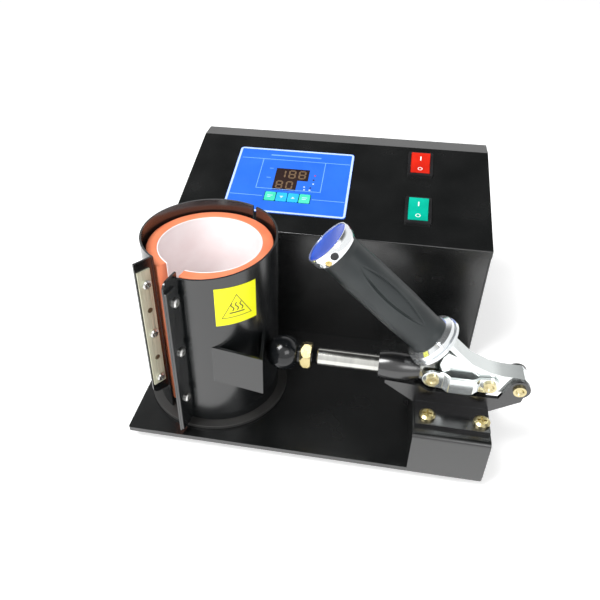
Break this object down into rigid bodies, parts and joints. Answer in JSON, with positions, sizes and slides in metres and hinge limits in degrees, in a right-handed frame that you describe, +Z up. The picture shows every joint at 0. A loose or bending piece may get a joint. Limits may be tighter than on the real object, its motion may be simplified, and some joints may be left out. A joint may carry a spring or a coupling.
{
  "type": "mug heat press",
  "caption": "Mug heat press: split heated shell on a base plate, closed by a push-pull toggle clamp with a rubber grip, with a sloped control box behind it.",
  "frame": {"origin": "centre of the whole part's bounding box in plan, on the surface that the feet stand on", "axes": "+X to the operator's right, along the plunger away from the heater; +Y to the back, where the control box is; +Z up"},
  "size_m": [0.3134, 0.3, 0.1967],
  "materials": {
    "black_coat": "satin powder coat",
    "clamp_black": "semi-gloss",
    "hinge_black": "satin",
    "rubber_black": "matte",
    "grip_rubber": "satin",
    "zinc": "zinc plated",
    "yellow_zinc": "yellow zinc plated",
    "steel_rod": "ground",
    "stainless": "brushed",
    "chrome": "polished",
    "ball_black": "polished",
    "membrane_blue": "satin film",
    "display_dark": "smoked window",
    "key_green": "satin",
    "key_cyan": "satin",
    "board_green": "solder mask",
    "standoff_brass": "turned",
    "switch_black": "gloss",
    "rocker_red": "translucent gloss",
    "rocker_green": "translucent gloss",
    "core_steel": "laminated",
    "coil_amber": "tape wrapped",
    "relay_blue": "moulded",
    "terminal_white": "moulded",
    "inlet_black": "moulded",
    "disc_fibre": "pressed fibre board",
    "silicone_orange": "matte silicone",
    "liner_white": "matte silicone foam",
    "label_yellow": "printed film"
  },
  "bodies": {
    "root": {"base_plate": "black_coat", "rubber_feet": "rubber_black", "foot_screws": "zinc", "base_screws": "zinc", "case_front": "black_coat", "case_rear": "black_coat", "case_left": "black_coat", "case_right": "black_coat", "top_panel": "black_coat", "panel_screws": "zinc", "control_membrane": "membrane_blue", "display_module": "display_dark", "control_board": "board_green", "board_standoffs": "standoff_brass", "red_switch": "switch_black", "green_switch": "switch_black", "transformer_core": "core_steel", "transformer_coil": "coil_amber", "relay": "relay_blue", "terminal_block": "terminal_white", "power_inlet": "inlet_black", "fuse_holder": "inlet_black", "lead_grommet": "rubber_black", "insulating_disc": "disc_fibre", "rear_shell": "black_coat", "shell_tabs": "zinc", "rear_strip": "stainless", "rear_strip_screws": "yellow_zinc", "mat_rear": "silicone_orange", "liner_rear": "liner_white", "fixed_leaf": "hinge_black", "hinge_pin": "steel_rod", "clamp_post": "black_coat", "clamp_base": "clamp_black", "guide_barrel": "clamp_black", "clamp_screws": "yellow_zinc", "pivot_pin": "yellow_zinc"},
    "front_half": {"front_shell": "black_coat", "front_strip": "black_coat", "front_strip_screws": "yellow_zinc", "mat_front": "silicone_orange", "liner_front": "liner_white", "wedge_bracket": "black_coat", "heat_label": "label_yellow", "moving_leaf": "hinge_black"},
    "handle": {"handle_bracket": "chrome", "handle_rod": "steel_rod", "rubber_grip": "grip_rubber", "grip_fittings": "chrome"},
    "links": {"link_plates": "chrome", "link_rivets": "yellow_zinc"},
    "plunger": {"plunger_rod": "steel_rod"},
    "tip": {"ball_tip": "ball_black", "lock_nut": "yellow_zinc"},
    "red_rocker": {"red_rocker": "rocker_red"},
    "green_rocker": {"green_rocker": "rocker_green"},
    "temp_key": {"temp_key": "key_green"},
    "time_key": {"time_key": "key_cyan"},
    "up_key": {"up_key": "key_cyan"},
    "down_key": {"down_key": "key_green"}
  },
  "joints": [
    {"name": "handle_lever", "type": "hinge", "parent": "root", "child": "handle", "pos_m": [0.14875, -0.105, 0.076], "axis": [0, 1, 0], "range_deg": [0, 100]},
    {"name": "link_swing", "type": "hinge", "parent": "handle", "child": "links", "pos_m": [0.12725, -0.105, 0.076], "axis": [0, 1, 0], "range_deg": [-130.1, 0]},
    {"name": "plunger_slide", "type": "slide", "parent": "root", "child": "plunger", "axis": [1, 0, 0], "range_m": [0, 0.031]},
    {"name": "front_hinge", "type": "hinge", "parent": "root", "child": "front_half", "pos_m": [-0.0668, -0.0302, 0.092], "axis": [0, 0, 1], "range_deg": [0, 6.1]},
    {"name": "tip_adjust", "type": "slide", "parent": "plunger", "child": "tip", "axis": [1, 0, 0], "range_m": [0, 0.003]},
    {"name": "red_rocker_tilt", "type": "hinge", "parent": "root", "child": "red_rocker", "pos_m": [0.06625, 0.09926, 0.15417], "axis": [1, 0, 0], "range_deg": [-18, 0]},
    {"name": "green_rocker_tilt", "type": "hinge", "parent": "root", "child": "green_rocker", "pos_m": [0.06625, 0.03773, 0.13655], "axis": [1, 0, 0], "range_deg": [-18, 0]},
    {"name": "temp_key_press", "type": "slide", "parent": "root", "child": "temp_key", "axis": [0, 0.2753, -0.9613], "range_m": [0, 0.0006], "stiffness_N_per_m": 1200, "springref_m": -0.0003},
    {"name": "time_key_press", "type": "slide", "parent": "root", "child": "time_key", "axis": [0, 0.2753, -0.9613], "range_m": [0, 0.0006], "stiffness_N_per_m": 1200, "springref_m": -0.0003},
    {"name": "up_key_press", "type": "slide", "parent": "root", "child": "up_key", "axis": [0, 0.2753, -0.9613], "range_m": [0, 0.0006], "stiffness_N_per_m": 1200, "springref_m": -0.0003},
    {"name": "down_key_press", "type": "slide", "parent": "root", "child": "down_key", "axis": [0, 0.2753, -0.9613], "range_m": [0, 0.0006], "stiffness_N_per_m": 1200, "springref_m": -0.0003}
  ],
  "couplings": [
    {"joint": "link_swing", "follows": "handle_lever", "ratio": -1.2988},
    {"joint": "plunger_slide", "follows": "handle_lever", "m_per_rad": 0.017695},
    {"joint": "front_hinge", "follows": "handle_lever", "ratio": 0.06}
  ]
}
